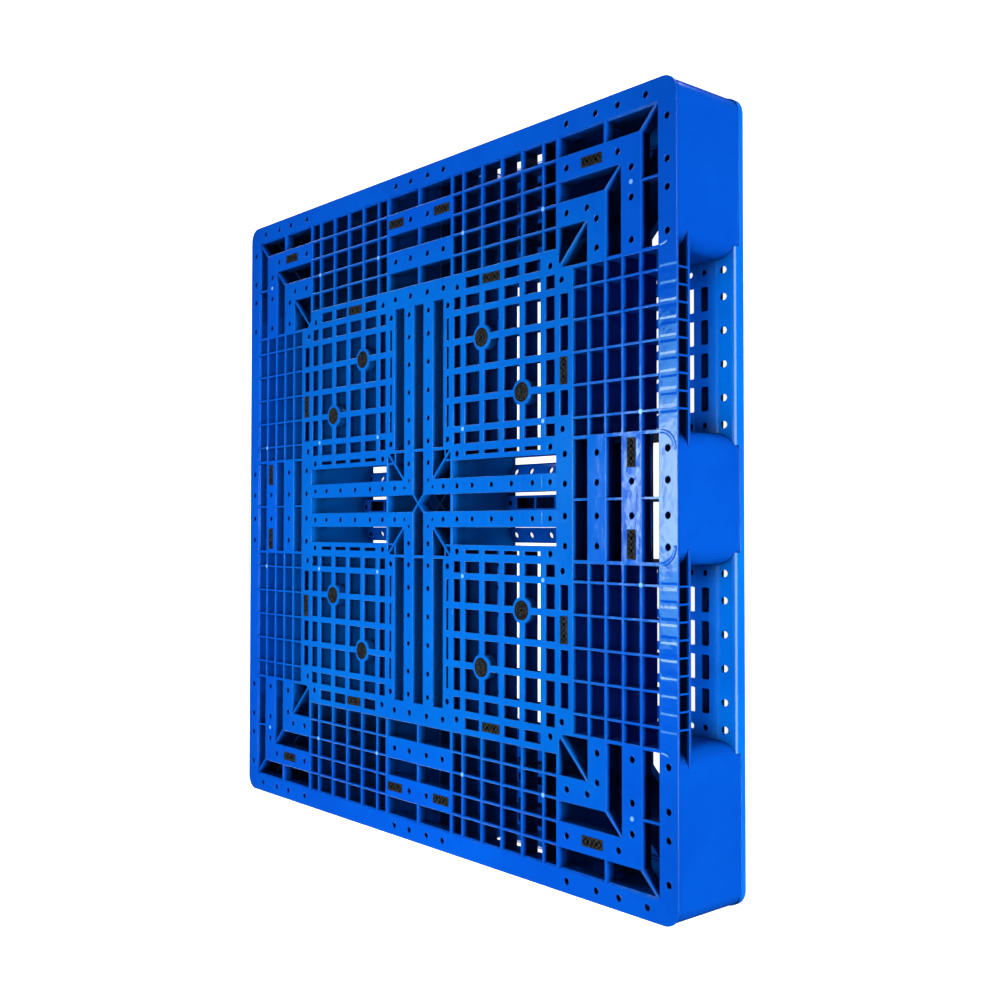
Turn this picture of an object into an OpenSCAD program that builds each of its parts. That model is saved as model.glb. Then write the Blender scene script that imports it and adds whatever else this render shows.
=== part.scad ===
// Square four-way plastic pallet with anti-slip rubber pads.
// Row frame: millimetres, Z up, origin on the ground under the middle of the pallet.
// The deck is symmetric about X and Y; "north" is +Y and "east" is +X.

/* [Overall] */
// Height of the load face above the ground
pallet_h = 150; // [140:1:160]
// Radius of the deck's outer corners
corner_r = 26; // [20:1:30]
// Radius of the legs where they turn into the fork openings
leg_r = 30; // [20:1:32]

/* [Deck] */
// Thickness of the deck skin
skin_t = 3.5; // [3:0.5:4]
// Thickness of the grid ribs
rib_t = 3.5; // [3:0.5:4]
// Depth of the grid ribs below the load face
rib_d = 34; // [30:1:36]
// Depth of the deck edge over the fork openings
edge_d = 28; // [26:1:30]
// Depth of the ribs round the leg pockets
pocket_d = 20; // [16:1:24]
// Diameter of the drain holes
drain_d = 10.5; // [8:0.5:11]
// Diameter of the drain holes in the cross bars
bar_drain_d = 9; // [7:0.5:10]

/* [Legs and bottom frame] */
// Height of the bottom frame's rim under the legs
rim_h = 10; // [8:1:12]
// How far the rim stands out from the legs
rim_out = 1.5; // [1:0.5:2.5]
// Wall thickness of the legs
leg_t = 5; // [4:0.5:6]
// Height of the bottom runners
runner_h = 28; // [26:1:30]
// Diameter of the row of holes along the runners' edges
runner_hole_d = 11; // [9:0.5:12]

/* [Rubber] */
// Length of a rectangular pad
pad_l = 43; // [40:0.5:46]
// Width of a rectangular pad
pad_w = 16; // [15:0.5:18]
// Diameter of a round plug
plug_d = 32; // [30:0.5:36]
// How far the rubber stands above the load face
rubber_out = 1; // [0.5:0.5:2]

/* [Hidden] */
half = 600;
zt = pallet_h;
zs = pallet_h - skin_t;
hr = rib_t / 2;
gap = 0.1;
pad_seat = pallet_h - 8;
plug_seat = pallet_h - 12;

// lines of the rib grid, measured from the middle
fine = [125, 175, 225, 275, 325];
rows = [390, 425, 460, 495, 530.5, 565.5];
// slot columns between the fine ribs
cols = [150, 200, 250, 300];
// holes along the runners and the arms
hole_at = [110, 150, 200, 250, 300, 340];
arm_hole_at = [111.5, 151.5, 201.5, 250, 300, 340];
// windows of the four inner panels
win = [[100, 119.5], [130.5, 169.5], [180.5, 219.5], [230.5, 269.5], [280.5, 319.5], [330.5, 352]];
// cells of the outer grid between the fine ribs
ucell = [[97, 125 - hr], [125 + hr, 175 - hr], [175 + hr, 225 - hr], [225 + hr, 275 - hr], [275 + hr, 325 - hr], [325 + hr, 355]];
vcell = [for (i = [0:4]) [rows[i] + hr, rows[i + 1] - hr]];
pcell = [[75.5, 94.5 - hr], [94.5 + hr, 125 - hr], [125 + hr, 175 - hr], [175 + hr, 225 - hr], [225 + hr, 275 - hr], [275 + hr, 325 - hr], [325 + hr, 357.5 - hr]];

pad_corner_at = [433, 512.5];
pad_edge_at = [67, 513];
pad_inner_at = [200, 372.5];
plug_at = [175, 275];

// ---------- plan helpers ----------
function arc(cx, cy, r, a0, n = 8) = [for (i = [0:n]) [cx + r * cos(a0 + 90 * i / n), cy + r * sin(a0 + 90 * i / n)]];
// rectangle with a radius for each corner, anticlockwise from low x, low y
function rr(x0, y0, x1, y1, r) = concat(arc(x0 + r[0], y0 + r[0], r[0], 180), arc(x1 - r[1], y0 + r[1], r[1], 270), arc(x1 - r[2], y1 - r[2], r[2], 0), arc(x0 + r[3], y1 - r[3], r[3], 90));
function rev(p) = [for (i = [len(p) - 1:-1:0]) p[i]];
function signed(p, sx, sy) = let (q = [for (v = p) [sx * v[0], sy * v[1]]]) sx * sy > 0 ? q : rev(q);
function swapped(p) = rev([for (v = p) [v[1], v[0]]]);

// a rectangle in each quadrant, and the same with X and Y exchanged
module r4(u, v) for (sx = [-1, 1], sy = [-1, 1])
    translate([sx * (u[0] + u[1]) / 2, sy * (v[0] + v[1]) / 2]) square([u[1] - u[0], v[1] - v[0]], center = true);
module r8(u, v) { r4(u, v); r4(v, u); }
module p4(p) for (sx = [-1, 1], sy = [-1, 1]) polygon(signed(p, sx, sy));
module p8(p) { p4(p); p4(swapped(p)); }
module c4(x, y, d) for (sx = [-1, 1], sy = [-1, 1]) translate([sx * x, sy * y]) circle(d = d, $fn = 32);
module c8(x, y, d) { c4(x, y, d); c4(y, x, d); }
module slab(z0, z1) translate([0, 0, z0]) linear_extrude(z1 - z0) children();

// outlines of the nine legs, grown by g (corner, edge, middle)
function corner_leg(g) = rr(355 - g, 355 - g, 598.5 + g, 598.5 + g, [20 + g, leg_r + g, corner_r - 1.5 + g, leg_r + g]);
function edge_leg(g) = rr(355 - g, -97 - g, 598.5 + g, 97 + g, [12 + g, leg_r + g, leg_r + g, 12 + g]);
function middle_leg(g) = rr(-97 - g, -97 - g, 97 + g, 97 + g, [10 + g, 10 + g, 10 + g, 10 + g]);
module legs2d(g) {
    p4(corner_leg(g));
    for (a = [0, 90, 180, 270]) rotate(a) polygon(edge_leg(g));
    polygon(middle_leg(g));
}

// ---------- top deck ----------
diag = hr * sqrt(2);
module pockets2d() {
    // legs on the edges
    for (v = [[532.25, 565.5], [461.75, 493.25], [391.75, 423.25]]) r8([hr, 92], v);
    // corner legs: two nested angles and the inner square, split on the diagonal
    p8([[360, 532.25], [460 - hr, 532.25], [460 - hr, 565.5], [360, 565.5]]);
    p8([[460 + hr, 532.25], [532.25 - diag, 532.25], [565.5 - diag, 565.5], [460 + hr, 565.5]]);
    p8([[360, 461.75], [461.75 - diag, 461.75], [493.25 - diag, 493.25], [360, 493.25]]);
    p8([[360, 372], [362, 368.5], [366 - diag / 2, 366 + diag / 2], [423.25 - diag, 423.25], [360, 423.25]]);
    // middle leg
    p8([[43 + diag / 2 + 1, 43 + diag * 1.5 + 1], [89 - diag / 2, 89 + diag / 2], [86, 92], [42, 92], [42, 43 + diag + 1]]);
    for (a = [0, 90, 180, 270]) rotate(a) polygon([[0, diag], [15, 15 + diag], [15, 92], [-15, 92], [-15, 15 + diag]]);
}
module channels2d() {
    r8([97, 355], [42, 72]);
    for (a = [0, 90, 180, 270]) rotate(a) translate([97, -15]) square([258, 30]);
}
module drains2d() {
    // outer strip
    for (u = [541.5, 440, 377.5, 70, 25]) c8(u, 582, drain_d);
    c4(486, 582, drain_d);
    c4(582, 480, drain_d);
    // bars of the legs
    c4(378, 513, drain_d);
    c4(486, 513, drain_d);
    c4(513, 484, drain_d);
    c4(513, 439.5, drain_d);
    c4(513, 377, drain_d);
    for (u = [378, 422]) c8(u, 442.5, drain_d);
    c8(25, 513, drain_d);
    for (u = [25, 70]) c8(u, 442.5, drain_d);
    // inner frame
    for (u = [25, 71]) c8(u, 374, drain_d);
    c8(83.5, 109.5, drain_d);
    c8(83.5, 341.5, drain_d);
    c8(109.5, 369, drain_d);
    c8(341.5, 367, drain_d);
    // cross bars
    for (u = [71.5, 109.7, 150, 200, 250, 300, 341]) c8(u, 28.5, bar_drain_d);
    c8(41, 28.5, 6);
}
module skin2d() {
    difference() {
        union() {
            difference() {
                polygon(rr(-half, -half, half, half, [corner_r, corner_r, corner_r, corner_r]));
                for (u = ucell) {
                    for (i = [0:3]) r8(u, vcell[i]);
                    r8(u, [rows[4] + hr, 565.5]);
                }
                for (u = win, v = win) r4(u, v);
                for (c = [150, 250, 300]) r8([c - 19.5, c + 19.5], [363.5, 382]);
                for (c = cols) r8([c - 19, c + 19], [80.5, 87]);
                channels2d();
                pockets2d();
            }
            c8(plug_at[0], plug_at[1], 43);
            // flush gate bosses on the rib crossings
            for (u = [125, 325]) { c4(u, 460, 8); c4(u, 125, 8); }
            c4(530.5, 125, 8);
        }
        drains2d();
        r4([pad_corner_at[0] - pad_l / 2 - gap, pad_corner_at[0] + pad_l / 2 + gap], [pad_corner_at[1] - pad_w / 2 - gap, pad_corner_at[1] + pad_w / 2 + gap]);
        for (p = [pad_edge_at, pad_inner_at])
            r8([p[0] - pad_l / 2 - gap, p[0] + pad_l / 2 + gap], [p[1] - pad_w / 2 - gap, p[1] + pad_w / 2 + gap]);
    }
}
// deep ribs of the panels and the outer grid
module ribs2d() {
    difference() {
        p4([[72, 72], [357.5, 72], [357.5, 94.5], [564.5, 94.5], [564.5, 357.5], [357.5, 357.5], [357.5, 564.5], [94.5, 564.5], [94.5, 357.5], [72, 357.5]]);
        for (u = pcell, v = pcell) r4(u, v);
        for (i = [1:6]) r8(pcell[i], [357.5 + hr, 390 - hr]);
        for (u = ucell) {
            for (i = [0:3]) r8([max(u[0], 94.5 + hr), min(u[1], 357.5 - hr)], vcell[i]);
            r8([max(u[0], 94.5 + hr), min(u[1], 357.5 - hr)], [rows[4] + hr, 570]);
        }
    }
    r8([94.5, 357.5], [15, 15 + rib_t]);
    r8([94.5, 357.5], [42 - rib_t, 42]);
    r8([94.5, 357.5], [565.5 - hr, 565.5 + hr]);
    for (u = fine) r8([u - hr, u + hr], [15, 42]);
}
// edge over the fork openings: web and rungs, open outwards
module edge2d() {
    difference() {
        r8([94.5, 357.5], [565.5 - hr, 599.5]);
        for (i = [0:9]) r8([i == 0 ? 90 : 100 + 25 * i + 1.4, i == 9 ? 362 : 125 + 25 * i - 1.4], [565.5 + hr, 602]);
    }
}
module angle2d(a) p4([[357, a - hr], [a - hr, a - hr], [a - hr, 357], [a + hr, 357], [a + hr, a + hr], [357, a + hr]]);
module diag2d(a, b) p4([[a - diag / 2, a + diag / 2], [a + diag / 2, a - diag / 2], [b + diag / 2, b - diag / 2], [b - diag / 2, b + diag / 2]]);
module bar_ribs2d() {
    for (a = [425, 495, 565.5]) {
        angle2d(a);
        r8([0, 95], [a - hr, a + hr]);
    }
}
module pocket_ribs2d() {
    for (a = [460, 530.5]) angle2d(a);
    diag2d(359, 425);
    diag2d(460, 495);
    diag2d(530.5, 565.5);
    r8([460 - hr, 460 + hr], [530.5, 565.5]);
    for (v = [390, 460, 530.5]) r8([0, 95], [v - hr, v + hr]);
    r8([0, hr], [390, 565.5]);
    // middle leg
    r8([15, 95], [15, 15 + rib_t]);
    r8([42 - rib_t, 95], [42 - rib_t, 42]);
    diag2d(40, 94);
    diag2d(0, 17);
}
// inner walls that stiffen the hollow legs, low down in the cavities
module leg_walls2d() {
    diag2d(362.5, 589);
    r8([0, hr], [357, 596]);
    diag2d(0, 92);
}
module cup(u, v, l, w, seat) translate([u, v, 0]) difference() {
    translate([-l / 2 - 3, -w / 2 - 3, seat - 3]) cube([l + 6, w + 6, zs - seat + 3.5]);
    translate([-l / 2 - gap, -w / 2 - gap, seat]) cube([l + 2 * gap, w + 2 * gap, 20]);
}
module boss(u, v) translate([u, v, plug_seat - 4]) cylinder(r = 21.5, h = zs - plug_seat + 4.5, $fn = 64);
module plug_bore(u, v) translate([u, v, plug_seat]) cylinder(d = plug_d + 2 * gap, h = 30, $fn = 64);

module top_deck() color([0.02, 0.33, 0.86]) difference() {
    union() {
        slab(zs, zt) skin2d();
        slab(zt - rib_d, zs + 0.5) ribs2d();
        slab(zt - edge_d, zs + 0.5) edge2d();
        slab(zt - edge_d, zt - edge_d + 4.5) difference() { r8([72, 380], [565.5 - hr, half]); legs2d(-2.5); }
        slab(zt - pocket_d, zs + 0.5) pocket_ribs2d();
        slab(zt - pocket_d - 6, zs + 0.5) bar_ribs2d();
        slab(rim_h + 3, zt - 50) leg_walls2d();
        slab(rim_h, zs + 0.5) difference() { legs2d(0); legs2d(-leg_t); }
        for (sx = [-1, 1], sy = [-1, 1]) {
            cup(sx * pad_corner_at[0], sy * pad_corner_at[1], pad_l, pad_w, pad_seat);
            for (p = [pad_edge_at, pad_inner_at]) {
                cup(sx * p[0], sy * p[1], pad_l, pad_w, pad_seat);
                cup(sx * p[1], sy * p[0], pad_w, pad_l, pad_seat);
            }
            boss(sx * plug_at[0], sy * plug_at[1]);
            boss(sx * plug_at[1], sy * plug_at[0]);
        }
    }
    for (sx = [-1, 1], sy = [-1, 1]) {
        plug_bore(sx * plug_at[0], sy * plug_at[1]);
        plug_bore(sx * plug_at[1], sy * plug_at[0]);
    }
}

// ---------- bottom frame ----------
// half of the runner's upper outline, from its middle line out to the ground
rh = runner_h;
run_out = [[495, rh], [564, rh], [569, rh - 0.8], [574, rh - 2.2], [593, rh - 8.2], [596.5, rh - 9.8], [598.8, rh - 12], [600, rh - 15], [600, 0]];
run_in = [[597, 0], [597, rh - 15.5], [596.2, rh - 13.8], [594.8, rh - 12.4], [592, rh - 11.2], [573, rh - 5.3], [568.3, rh - 3.8], [563.6, rh - 3], [495, rh - 3]];
function about495(p) = [for (v = p) [990 - v[0], v[1]]];
module runner2d() {
    polygon(concat(run_out, run_in));
    polygon(rev(about495(concat(run_out, run_in))));
    for (w = [485, 559]) translate([w, 2]) square([3, rh - 4]);
}
module runners() for (a = [0, 90, 180, 270]) rotate(a) for (s = [-1, 1])
    translate([0, s > 0 ? 388 : -64, 0]) rotate([90, 0, 0]) linear_extrude(324) runner2d();
arm_out = [[43, 0], [43, 19.5], [46, 20.5], [56, 16], [63, 12.5], [67.5, 9], [70, 5], [70, 0]];
arm_in = [[67, 0], [67, 4.2], [65.3, 6.6], [61.5, 9.5], [55, 12.8], [46, 16.8], [46, 0]];
module arm2d() {
    polygon(rev(concat(arm_out, arm_in)));
    polygon([for (v = concat(arm_out, arm_in)) [-v[0], v[1]]]);
    difference() {
        translate([-13.5, 0]) square([27, rh]);
        translate([-10.5, 3]) square([21, rh - 6]);
    }
}
module arms() for (a = [0, 90, 180, 270]) rotate(a) translate([92, 0, 0]) rotate([90, 0, 90]) linear_extrude(268) arm2d();
module ring2d(a, b) difference() { square(2 * b, center = true); square(2 * a, center = true); }
// upright slots with rounded corners, in the runners' flat tops
slot = concat([[-4.5, -18.5], [4.5, -18.5], [6.6, -17.6], [7.5, -15.5]], [[7.5, 15.5], [6.6, 17.6], [4.5, 18.5]],
    [[-4.5, 18.5], [-6.6, 17.6], [-7.5, 15.5]], [[-7.5, -15.5], [-6.6, -17.6]]);
module frame_cuts() {
    for (a = [0, 90, 180, 270]) rotate(a) {
        for (s = [-1, 1]) {
            for (w = [580.5, 409.5], u = hole_at)
                translate([w, s * u, -1]) cylinder(d = runner_hole_d, h = 40, $fn = 32);
            for (w = [548.5, 522, 478, 451]) {
                for (u = cols) translate([w, s * u, rh - 8]) linear_extrude(20) polygon(slot);
                for (u = [110, 340]) translate([w, s * u, rh - 8]) cylinder(d = 9, h = 20, $fn = 32);
            }
            for (u = arm_hole_at) translate([u, s * 56, -1]) cylinder(d = 10.5, h = 40, $fn = 32);
        }
        for (u = cols) translate([u - 22.5, -9.5, rh - 8]) cube([45, 19, 20]);
        for (u = [110, 340]) translate([u, 0, rh - 8]) cylinder(d = 9, h = 20, $fn = 32);
    }
}
module bottom_frame() color([0.02, 0.3, 0.82]) difference() {
    union() {
        runners();
        arms();
        slab(0, 3) { ring2d(508, 562); ring2d(438, 488); r8([100, 122], [486, 510]); }
        slab(2, rim_h - 2) for (w = [485.5, 559.5]) ring2d(w, w + 2);
        slab(0, rim_h) {
            difference() { legs2d(rim_out); legs2d(-leg_t); }
            difference() { polygon(middle_leg(-4)); polygon(middle_leg(-9)); }
        }
        // feet of the legs, with openings in the outer ones
        slab(0, 3) difference() {
            legs2d(-4);
            p4([[421, 362], [438, 362], [438, 434.5], [421, 417.5]]);
            r8([2, 92], [422, 438]);
        }
        // ties in the open strips of the runners
        slab(0, 11) for (u = fine) { r8([u - 1.5, u + 1.5], [559, 594]); r8([u - 1.5, u + 1.5], [396, 442]); }
    }
    slab(rim_h, rim_h + 40) {
        legs2d(0.3);
        // the runners' outer walls stop short of the legs' faces
        r8([60, 79], [590, 602]);
        r8([373, 392], [590, 602]);
    }
    // the middle leg's foot is set back at the ground
    slab(-1, 5.5) difference() { polygon(middle_leg(3)); polygon(middle_leg(-5)); }
    frame_cuts();
}

// ---------- rubber ----------
module pad_body() difference() {
    translate([-pad_l / 2, -pad_w / 2, pad_seat]) cube([pad_l, pad_w, zt + rubber_out - pad_seat]);
    for (s = [-1, 1]) translate([s * 9, 0, zt + rubber_out - 4]) cylinder(d = 5, h = 6, $fn = 24);
    // crossing grooves inside a plain border
    translate([0, 0, zt + rubber_out - 1]) linear_extrude(5) intersection() {
        square([pad_l - 4, pad_w - 4], center = true);
        for (k = [-3:3], s = [-1, 1]) translate([k * 9, 0]) rotate(s * 42) square([1.6, 40], center = true);
    }
}
module pad_x(u, v) color([0.05, 0.05, 0.05]) translate([u, v, 0]) pad_body();
module pad_y(u, v) color([0.05, 0.05, 0.05]) translate([u, v, 0]) rotate(90) pad_body();
module plug(u, v) color([0.06, 0.07, 0.07]) translate([u, v, 0]) difference() {
    translate([0, 0, plug_seat]) cylinder(d = plug_d, h = zt + rubber_out - plug_seat, $fn = 64);
    for (r = [6.5, 10.5, 14.5]) translate([0, 0, zt + rubber_out - 1.2]) difference() {
        cylinder(r = r, h = 3, $fn = 64);
        translate([0, 0, -1]) cylinder(r = r - 1.6, h = 6, $fn = 64);
    }
    translate([0, 0, zt + rubber_out - 2]) cylinder(r = 2.6, h = 5, $fn = 32);
}

pc = pad_corner_at;
pe = pad_edge_at;
pi_ = pad_inner_at;
pl = plug_at;
top_deck();
bottom_frame();
pad_x(pc[0], pc[1]);  // pad_corner_ne
pad_x(-pc[0], pc[1]);  // pad_corner_nw
pad_x(-pc[0], -pc[1]);  // pad_corner_sw
pad_x(pc[0], -pc[1]);  // pad_corner_se
pad_x(pe[0], pe[1]);  // pad_north_e
pad_x(-pe[0], pe[1]);  // pad_north_w
pad_x(pe[0], -pe[1]);  // pad_south_e
pad_x(-pe[0], -pe[1]);  // pad_south_w
pad_y(pe[1], pe[0]);  // pad_east_n
pad_y(pe[1], -pe[0]);  // pad_east_s
pad_y(-pe[1], pe[0]);  // pad_west_n
pad_y(-pe[1], -pe[0]);  // pad_west_s
pad_x(pi_[0], pi_[1]);  // pad_inner_ne_n
pad_y(pi_[1], pi_[0]);  // pad_inner_ne_e
pad_x(-pi_[0], pi_[1]);  // pad_inner_nw_n
pad_y(-pi_[1], pi_[0]);  // pad_inner_nw_w
pad_x(-pi_[0], -pi_[1]);  // pad_inner_sw_s
pad_y(-pi_[1], -pi_[0]);  // pad_inner_sw_w
pad_x(pi_[0], -pi_[1]);  // pad_inner_se_s
pad_y(pi_[1], -pi_[0]);  // pad_inner_se_e
plug(pl[0], pl[1]);  // plug_ne_n
plug(pl[1], pl[0]);  // plug_ne_e
plug(-pl[0], pl[1]);  // plug_nw_n
plug(-pl[1], pl[0]);  // plug_nw_w
plug(-pl[0], -pl[1]);  // plug_sw_s
plug(-pl[1], -pl[0]);  // plug_sw_w
plug(pl[0], -pl[1]);  // plug_se_s
plug(pl[1], -pl[0]);  // plug_se_e
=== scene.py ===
# Looks of the blue plastic pallet: moulded plastic, anti-slip rubber, pale floor and soft studio light.
import math

import bpy
from mathutils import Matrix, Vector

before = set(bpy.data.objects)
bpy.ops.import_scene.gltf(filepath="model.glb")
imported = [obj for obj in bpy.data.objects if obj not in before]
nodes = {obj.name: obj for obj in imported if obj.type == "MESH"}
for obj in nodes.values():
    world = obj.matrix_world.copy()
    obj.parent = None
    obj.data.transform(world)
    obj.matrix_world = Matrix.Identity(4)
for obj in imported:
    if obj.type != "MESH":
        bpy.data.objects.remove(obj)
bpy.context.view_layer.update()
scene = bpy.context.scene


# ---------------------------------------------------------------- node helpers
class Tree:
    """A small helper that adds and links shader nodes."""

    def __init__(self, name):
        self.mat = bpy.data.materials.new(name)
        self.mat.use_nodes = True
        self.t = self.mat.node_tree
        self.t.nodes.clear()
        self.out = self.t.nodes.new("ShaderNodeOutputMaterial")

    def add(self, kind, **props):
        n = self.t.nodes.new(kind)
        for k, v in props.items():
            setattr(n, k, v)
        return n

    def put(self, socket, value):
        if isinstance(value, bpy.types.NodeSocket):
            self.t.links.new(value, socket)
        else:
            socket.default_value = value

    def math(self, op, a, b=None, c=None, clamp=False):
        n = self.add("ShaderNodeMath", operation=op, use_clamp=clamp)
        for i, v in enumerate((a, b, c)):
            if v is not None:
                self.put(n.inputs[i], v)
        return n.outputs[0]

    def vec(self, op, a, b=None):
        n = self.add("ShaderNodeVectorMath", operation=op)
        self.put(n.inputs[0], a)
        if b is not None:
            self.put(n.inputs[1], b)
        return n.outputs["Value"] if op in ("DOT_PRODUCT", "DISTANCE", "LENGTH") else n.outputs["Vector"]

    def noise(self, vector, scale, detail=3.0, rough=0.5, distortion=0.0):
        n = self.add("ShaderNodeTexNoise")
        self.put(n.inputs["Vector"], vector)
        n.inputs["Scale"].default_value = scale
        n.inputs["Detail"].default_value = detail
        n.inputs["Roughness"].default_value = rough
        n.inputs["Distortion"].default_value = distortion
        return n.outputs["Fac"]

    def ramp(self, fac, lo, hi, to_lo=0.0, to_hi=1.0, smooth=True):
        n = self.add("ShaderNodeMapRange", interpolation_type="SMOOTHSTEP" if smooth else "LINEAR")
        self.put(n.inputs["Value"], fac)
        n.inputs["From Min"].default_value = lo
        n.inputs["From Max"].default_value = hi
        n.inputs["To Min"].default_value = to_lo
        n.inputs["To Max"].default_value = to_hi
        return n.outputs["Result"]

    def mix(self, fac, a, b):
        n = self.add("ShaderNodeMix", data_type="RGBA")
        self.put(n.inputs["Factor"], fac)
        self.put(n.inputs[6], a)
        self.put(n.inputs[7], b)
        return n.outputs[2]

    def bump(self, height, strength, distance, normal=None):
        n = self.add("ShaderNodeBump")
        n.inputs["Strength"].default_value = strength
        n.inputs["Distance"].default_value = distance
        self.put(n.inputs["Height"], height)
        if normal is not None:
            self.put(n.inputs["Normal"], normal)
        return n.outputs["Normal"]

    def bevel(self, radius, samples=6):
        n = self.add("ShaderNodeBevel", samples=samples)
        self.put(n.inputs["Radius"], radius)
        return n.outputs["Normal"]


def rgb(r, g, b):
    return (r, g, b, 1.0)


# ---------------------------------------------------------------- materials
def near_multiple(t, v, pitch, offset, width):
    """1 on the lines v = offset + k * pitch, falling to 0 at the given distance."""
    shifted = t.math("SUBTRACT", v, offset - pitch / 2)
    d = t.math("ABSOLUTE", t.math("SUBTRACT", t.math("FLOORED_MODULO", shifted, pitch), pitch / 2))
    return t.ramp(d, width * 0.25, width, 1.0, 0.0)


def between(t, v, lo, hi, soft=0.001):
    return t.math("MULTIPLY", t.ramp(v, lo - soft, lo + soft), t.ramp(v, hi - soft, hi + soft, 1.0, 0.0))


def sink_marks(t, folded):
    """Shallow dips of the skin above the ribs behind it: rungs of the edge, rims of the legs, ribs of the cross bars."""
    xyz = t.add("ShaderNodeSeparateXYZ")
    t.put(xyz.inputs[0], folded)
    x, y, z = xyz.outputs
    top = t.ramp(z, 0.1485, 0.1495)
    marks = None
    for a, b, depth in ((x, y, 1.0), (y, x, 0.12)):
        rung = t.math("MULTIPLY", near_multiple(t, b, 0.025, 0.0, 0.0065),
                      t.math("MULTIPLY", between(t, a, 0.5685, 0.599), between(t, b, 0.112, 0.338)))
        bar = t.math("MULTIPLY", near_multiple(t, a, 0.050, 0.025, 0.0040),
                     t.math("MULTIPLY", between(t, b, 0.0165, 0.0405), between(t, a, 0.110, 0.340)))
        both = t.math("MAXIMUM", rung, t.math("MULTIPLY", bar, 0.3))
        # rounded ends of the legs in the outer strip
        flat = t.add("ShaderNodeCombineXYZ")
        t.put(flat.inputs[0], a)
        t.put(flat.inputs[1], b)
        for cb, sign, reach in ((0.067, 1.0, 0.600), (0.385, -1.0, 0.582)):
            d = t.vec("DISTANCE", flat.outputs[0], (0.5685, cb, 0.0))
            ring = t.ramp(t.math("ABSOLUTE", t.math("SUBTRACT", d, 0.0275)), 0.0008, 0.0034, 1.0, 0.0)
            side = t.ramp(t.math("MULTIPLY", t.math("SUBTRACT", b, cb), sign), -0.001, 0.004)
            both = t.math("MAXIMUM", both, t.math("MULTIPLY", ring, t.math("MULTIPLY", side, between(t, a, 0.5685, reach, 0.0015))))
        both = t.math("MULTIPLY", both, depth)
        marks = both if marks is None else t.math("MAXIMUM", marks, both)
    return t.math("MULTIPLY", marks, top)


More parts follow.
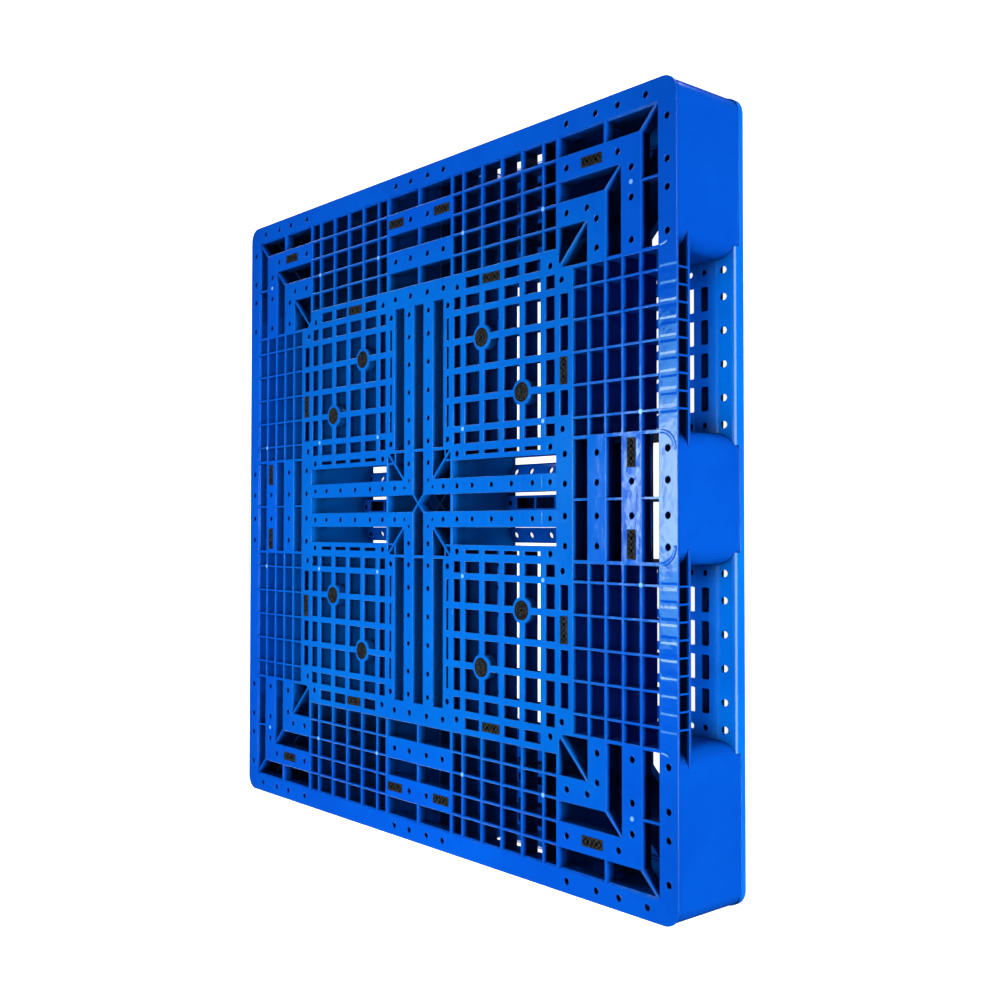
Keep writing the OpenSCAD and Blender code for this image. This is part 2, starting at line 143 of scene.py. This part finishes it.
def blue_plastic(name, base, light, dark, gates, shine, rim_shine, painted_shade_colour, lift, tone_light_zone_at, inner_tone_light_tint, rim_tone_light_tint):
    """Semi-gloss moulded polyolefin: cloudy colour, fine mould grain, rubbed edges with a painted highlight, light
    scuffs, sink marks, painted shade in the hollows, and painted light and shade by the distance from the middle.
    """
    t = Tree(name)
    obj = t.add("ShaderNodeTexCoord").outputs["Object"]
    geo = t.add("ShaderNodeNewGeometry")
    folded = t.vec("ABSOLUTE", obj)
    # slow cloudiness of the melt, and finer mottling
    cloud = t.noise(obj, 5.0, 3.0, 0.55)
    mottle = t.noise(obj, 42.0, 4.0, 0.6)
    colour = t.mix(t.ramp(cloud, 0.35, 0.68), base, light)
    colour = t.mix(t.ramp(mottle, 0.45, 0.75, 0.0, 0.22), colour, dark)
    # tone and painted light by the distance from the middle: on the deck lighter towards the middle and deeper blue
    # towards the rim; on the frame painted shade on the runner tops under the deck and painted light on the outer
    # slopes
    place = t.add("ShaderNodeSeparateXYZ")
    t.put(place.inputs[0], folded)
    reach = t.math("MAXIMUM", place.outputs[0], place.outputs[1])
    tone_light_zone = t.ramp(reach, tone_light_zone_at[0], tone_light_zone_at[1])
    tone_light_tint = t.add("ShaderNodeMix", data_type="RGBA", blend_type="MULTIPLY")
    tone_light_tint.inputs["Factor"].default_value = 1.0
    t.put(tone_light_tint.inputs[6], colour)
    t.put(tone_light_tint.inputs[7], t.mix(tone_light_zone, inner_tone_light_tint, rim_tone_light_tint))
    colour = tone_light_tint.outputs[2]
    # rubbed edges with a painted highlight on the rounded edges: lighter where the rounded normal leaves the face
    # normal
    outer = t.math("MULTIPLY", t.ramp(place.outputs[0], 0.590, 0.594), t.ramp(place.outputs[2], 0.140, 0.143))
    round_n = t.bevel(t.ramp(outer, 0.0, 1.0, 0.0010, 0.0028), 6)
    edge = t.math("SUBTRACT", 1.0, t.vec("DOT_PRODUCT", round_n, geo.outputs["True Normal"]))
    worn_and_highlight = t.math("MULTIPLY", t.ramp(edge, 0.01, 0.25), t.ramp(t.noise(obj, 70.0, 3.0, 0.6), 0.3, 0.65, 0.25, 1.0))
    colour = t.mix(t.math("MULTIPLY", worn_and_highlight, 0.75), colour, rgb(0.010, 0.15, 0.60))
    # long thin scuffs from sliding loads and forks
    stretch = t.add("ShaderNodeMapping")
    t.put(stretch.inputs["Vector"], obj)
    stretch.inputs["Rotation"].default_value = (0.0, 0.0, 0.35)
    stretch.inputs["Scale"].default_value = (9.0, 320.0, 120.0)
    scuff = t.ramp(t.noise(stretch.outputs["Vector"], 1.0, 2.0, 0.5), 0.70, 0.82)
    scuff = t.math("MULTIPLY", scuff, t.ramp(t.noise(obj, 7.0, 2.0, 0.5), 0.5, 0.68))
    colour = t.mix(t.math("MULTIPLY", scuff, 0.12), colour, rgb(0.012, 0.16, 0.58))
    if gates:
        # pale spots left by the injection points
        spot = None
        for g in gates:
            d = t.vec("DISTANCE", folded, g)
            m = t.ramp(d, 0.0028, 0.0042, 1.0, 0.0)
            spot = m if spot is None else t.math("MAXIMUM", spot, m)
        colour = t.mix(t.math("MULTIPLY", spot, 0.75), colour, rgb(0.22, 0.5, 0.95))
    # painted shade deep between the ribs, in the drain bores and in tight corners
    hollow = t.add("ShaderNodeAmbientOcclusion", samples=5)
    hollow.inputs["Distance"].default_value = 0.06
    ao = hollow.outputs["AO"]
    facing = t.add("ShaderNodeSeparateXYZ")
    t.put(facing.inputs[0], geo.outputs["True Normal"])
    inside = t.ramp(reach, 0.5955, 0.5975, 1.0, 0.0)
    deep = t.math("MULTIPLY", t.ramp(place.outputs[2], 0.134, 0.1475, 1.0, 0.0), t.ramp(ao, 0.4, 0.95, 1.0, 0.0))
    deep = t.math("MULTIPLY", deep, t.ramp(t.math("ABSOLUTE", facing.outputs[0]), 0.5, 0.9, 1.0, 0.75))
    beside = t.math("MULTIPLY", t.ramp(place.outputs[2], 0.1400, 0.1486, 1.0, 0.0), t.ramp(ao, 0.5, 1.0, 1.0, 0.0))
    deep = t.math("MAXIMUM", deep, t.math("MULTIPLY", beside, t.ramp(place.outputs[1], 0.385, 0.405)))
    deep = t.math("MULTIPLY", deep, inside)
    # the painted shade is weaker in the cells over the open fork tunnels than in the pockets over the closed legs
    tunnel = t.math("MULTIPLY", between(t, place.outputs[0], 0.093, 0.565), between(t, place.outputs[1], 0.093, 0.360))
    deep = t.math("MULTIPLY", deep, t.ramp(tunnel, 0.0, 1.0, 1.0, lift))
    bore = t.math("MULTIPLY", t.ramp(ao, 0.14, 0.46, 1.0, 0.0), t.ramp(place.outputs[2], 0.1425, 0.1455))
    shade = t.math("MAXIMUM", t.math("MAXIMUM", deep, bore), t.ramp(ao, 0.06, 0.26, 1.0, 0.0))
    if gates:
        # painted shade on the insides of the hollow legs, which get hardly any light
        wide = t.ramp(reach, 0.560, 0.566, 1.0, 0.0)
        leg = None
        for v in (place.outputs[0], place.outputs[1]):
            core = t.math("MAXIMUM", t.ramp(v, 0.065, 0.067, 1.0, 0.0), t.ramp(v, 0.389, 0.391))
            full = t.math("MAXIMUM", t.ramp(v, 0.091, 0.093, 1.0, 0.0), t.ramp(v, 0.359, 0.361))
            in_leg = t.math("MAXIMUM", core, t.math("MULTIPLY", full, wide))
            leg = in_leg if leg is None else t.math("MULTIPLY", leg, in_leg)
        within = t.math("MULTIPLY", inside, t.ramp(t.math("ADD", place.outputs[0], place.outputs[1]), 1.172, 1.177, 1.0, 0.0))
        leg = t.math("MULTIPLY", leg, t.math("MULTIPLY", t.ramp(place.outputs[2], 0.128, 0.147, 0.93, 0.0), within))
        shade = t.math("MAXIMUM", shade, leg)
    # painted shade: the colour is pulled towards the shade colour where the masks above are set
    colour = t.mix(t.math("MULTIPLY", shade, 0.97), colour, painted_shade_colour)
    gloss = t.math("MULTIPLY", t.ramp(ao, 0.3, 0.75, 0.1, 1.0), t.ramp(reach, 0.592, 0.597, shine, rim_shine))
    rough = t.ramp(t.noise(obj, 18.0, 4.0, 0.6), 0.3, 0.7, ROUGH_LO, ROUGH_HI)
    rough = t.math("ADD", rough, t.math("MULTIPLY", scuff, 0.1))
    grain = t.noise(obj, 850.0, 2.0, 0.5)
    wave = t.noise(obj, 30.0, 3.0, 0.5)
    # the flow waves show on the load face, and the sides are smoother
    normal = t.bump(t.math("MULTIPLY", wave, t.ramp(place.outputs[2], 0.1400, 0.1475, 0.12, 1.0)), 0.55, 0.002, round_n)
    normal = t.bump(grain, 0.06, 0.0003, normal)
    if gates:
        normal = t.bump(t.math("SUBTRACT", 1.0, sink_marks(t, folded)), 1.0, 0.0005, normal)
    p = t.add("ShaderNodeBsdfPrincipled")
    t.put(p.inputs["Base Color"], colour)
    t.put(p.inputs["Roughness"], rough)
    t.put(p.inputs["Normal"], normal)
    t.put(p.inputs["Specular IOR Level"], gloss)
    p.inputs["IOR"].default_value = 1.5
    t.put(t.out.inputs["Surface"], p.outputs["BSDF"])
    return t.mat


def dark_rubber(name, base, dust):
    """Matt dark rubber with a mottled moulded skin, a little dust in it and painted shade in its relief."""
    t = Tree(name)
    obj = t.add("ShaderNodeTexCoord").outputs["Object"]
    geo = t.add("ShaderNodeNewGeometry")
    round_n = t.bevel(0.0008, 6)
    edge = t.math("SUBTRACT", 1.0, t.vec("DOT_PRODUCT", round_n, geo.outputs["True Normal"]))
    lump = t.noise(obj, 260.0, 3.0, 0.6)
    fine = t.noise(obj, 1300.0, 2.0, 0.5)
    colour = t.mix(t.ramp(lump, 0.4, 0.7), base, dust)
    colour = t.mix(t.math("MULTIPLY", t.ramp(edge, 0.01, 0.25), 0.4), colour, rgb(0.035, 0.035, 0.033))
    colour = t.mix(t.ramp(fine, 0.62, 0.78, 0.0, 0.3), colour, rgb(0.04, 0.04, 0.037))
    # the relief: raised lines rubbed grey, and painted shade makes the floor between them near black
    place = t.add("ShaderNodeSeparateXYZ")
    t.put(place.inputs[0], obj)
    colour = t.mix(t.ramp(place.outputs[2], 0.1504, 0.1509, 0.97, 0.0), colour, rgb(0.0008, 0.0008, 0.0008))
    normal = t.bump(lump, 0.45, 0.0012, round_n)
    normal = t.bump(fine, 0.2, 0.0003, normal)
    p = t.add("ShaderNodeBsdfPrincipled")
    t.put(p.inputs["Base Color"], colour)
    t.put(p.inputs["Roughness"], t.ramp(lump, 0.3, 0.7, 0.55, 0.75))
    t.put(p.inputs["Normal"], normal)
    p.inputs["IOR"].default_value = 1.4
    p.inputs["Specular IOR Level"].default_value = 0.02
    t.put(t.out.inputs["Surface"], p.outputs["BSDF"])
    return t.mat


ROUGH_LO, ROUGH_HI = 0.10, 0.15
GATES = [(0.125, 0.46, 0.15), (0.325, 0.46, 0.15), (0.125, 0.125, 0.15), (0.325, 0.125, 0.15), (0.5305, 0.125, 0.15),
         (0.513, 0.462, 0.15)]
deck_mat = blue_plastic("deck_plastic", rgb(0.0003, 0.083, 0.46), rgb(0.0004, 0.098, 0.50), rgb(0.0002, 0.062, 0.39), GATES, 0.5, 0.5,
                        rgb(0.0001, 0.005, 0.022), 0.45, (0.36, 0.53), rgb(1.0, 1.14, 1.0), rgb(1.0, 0.84, 1.08))
frame_mat = blue_plastic("frame_plastic", rgb(0.0003, 0.084, 0.50), rgb(0.0004, 0.100, 0.55), rgb(0.0002, 0.064, 0.42), [], 0.08, 0.9,
                         rgb(0.0001, 0.0008, 0.007), 1.0, (0.545, 0.590), rgb(1.0, 0.72, 0.84), rgb(1.0, 1.65, 1.36))
pad_mat = dark_rubber("pad_rubber", rgb(0.010, 0.0101, 0.0102), rgb(0.036, 0.0366, 0.037))
plug_mat = dark_rubber("plug_rubber", rgb(0.008, 0.0085, 0.0087), rgb(0.040, 0.0425, 0.0435))

for name, o in nodes.items():
    mat = deck_mat if name == "top_deck" else frame_mat if name == "bottom_frame" else pad_mat if name.startswith("pad_") else plug_mat
    o.data.materials.clear()
    o.data.materials.append(mat)
    if name.startswith(("pad_", "plug_")):
        w = o.modifiers.new("weld", "WELD")
        w.merge_threshold = 0.00001
        b = o.modifiers.new("round_edges", "BEVEL")
        b.width = 0.0009 if name.startswith("pad_") else 0.0004
        b.segments = 3
        b.limit_method = "ANGLE"
        b.angle_limit = math.radians(40)

# ---------------------------------------------------------------- floor
floor_mesh = bpy.data.meshes.new("floor")
S = 40.0
floor_mesh.from_pydata([(-S, -S, 0), (S, -S, 0), (S, S, 0), (-S, S, 0)], [], [(0, 1, 2, 3)])
floor = bpy.data.objects.new("floor", floor_mesh)
scene.collection.objects.link(floor)
floor.location.z = -0.0005
ft = Tree("floor_white")
dif = ft.add("ShaderNodeBsdfDiffuse")
dif.inputs["Color"].default_value = rgb(0.8, 0.8, 0.8)
emi = ft.add("ShaderNodeEmission")
emi.inputs["Color"].default_value = rgb(1.0, 1.0, 1.0)
emi.inputs["Strength"].default_value = 1.0
both = ft.add("ShaderNodeAddShader")
ft.t.links.new(dif.outputs[0], both.inputs[0])
ft.t.links.new(emi.outputs[0], both.inputs[1])
ft.t.links.new(both.outputs[0], ft.out.inputs["Surface"])
floor.data.materials.append(ft.mat)
floor.visible_diffuse = False
floor.visible_glossy = False
floor.visible_shadow = False


# ---------------------------------------------------------------- light
def area(name, at, to, size_x, size_y, power, colour=(1, 1, 1)):
    d = bpy.data.lights.new(name, "AREA")
    d.shape = "RECTANGLE"
    d.size, d.size_y = size_x, size_y
    d.energy = power
    d.color = colour
    o = bpy.data.objects.new(name, d)
    scene.collection.objects.link(o)
    o.location = at
    o.rotation_mode = "QUATERNION"
    o.rotation_quaternion = (Vector(to) - Vector(at)).to_track_quat("-Z", "Y")
    return o


key = area("key", (0.1, -0.18, 1.7), (-0.95, -0.28, 0.15), 1.1, 1.2, 53)
key.visible_glossy = False
side = area("side", (3.9, -0.15, 0.65), (0.6, 0.0, 0.08), 2.2, 0.6, 192)
side.visible_glossy = False
# a low fill for the side that faces +Y, below the load face
north = area("north_fill", (0.35, 2.8, 0.10), (0.5, 0.6, 0.075), 0.8, 0.2, 40)
north.visible_glossy = False
# a softbox overhead that only shows as a sheen on the near edge, brightest in the middle
for sheen_name, at, size_x, size_y, power, colour in (
        ("sheen_wide", (0.1, 0.085, 1.42), 1.45, 0.91, 17.0, (0.34, 1.0, 0.66)),
        ("sheen_core", (0.1, 0.06, 1.41), 1.45, 0.40, 14.0, (0.93, 1.0, 0.55))):
    box = area(sheen_name, at, (at[0], at[1], 0.15), size_x, size_y, power, colour)
    box.visible_diffuse = False
# strips that only show as highlights on rounded edges
for edge_name, at, size_x, size_y, power in (
        ("edge_low_north", (0.5, 2.4, -0.9), 1.6, 1.2, 22),
        ("edge_east", (3.9, -0.7, 0.9), 2.2, 0.6, 25),
        ("edge_front", (2.9, 0.1, 2.1), 3.0, 2.6, 85),
        ("edge_north", (-2.0, 2.1, 0.45), 1.2, 0.6, 12),
        ("edge_south", (-2.0, -2.1, 0.45), 1.2, 0.6, 12)):
    strip = area(edge_name, at, (0.2, 0.0, 0.1), size_x, size_y, power)
    strip.visible_diffuse = False

world = bpy.data.worlds.new("studio")
scene.world = world
world.use_nodes = True
wt = world.node_tree
wt.nodes["Background"].inputs["Color"].default_value = rgb(1.0, 1.0, 1.0)
wt.nodes["Background"].inputs["Strength"].default_value = 0.02

# ---------------------------------------------------------------- camera
cam_data = bpy.data.cameras.new("camera")
cam = bpy.data.objects.new("camera", cam_data)
scene.collection.objects.link(cam)
cam_data.sensor_width = 36.0
cam_data.lens = 42.438
cam_data.clip_start, cam_data.clip_end = 0.01, 200.0
right = Vector((0.655396, 0.000609, -0.755285)).normalized()
back = Vector((0.755109, -0.022181, 0.655225)).normalized()
up = back.cross(right).normalized()
right = up.cross(back).normalized()
cam.matrix_world = Matrix((
    (right.x, up.x, back.x, 1.67807),
    (right.y, up.y, back.y, -0.04040),
    (right.z, up.z, back.z, 1.41308),
    (0, 0, 0, 1)))
scene.camera = cam

scene.view_settings.view_transform = "Standard"
scene.view_settings.look = "None"
scene.view_settings.exposure = 0.0
scene.view_settings.gamma = 1.0
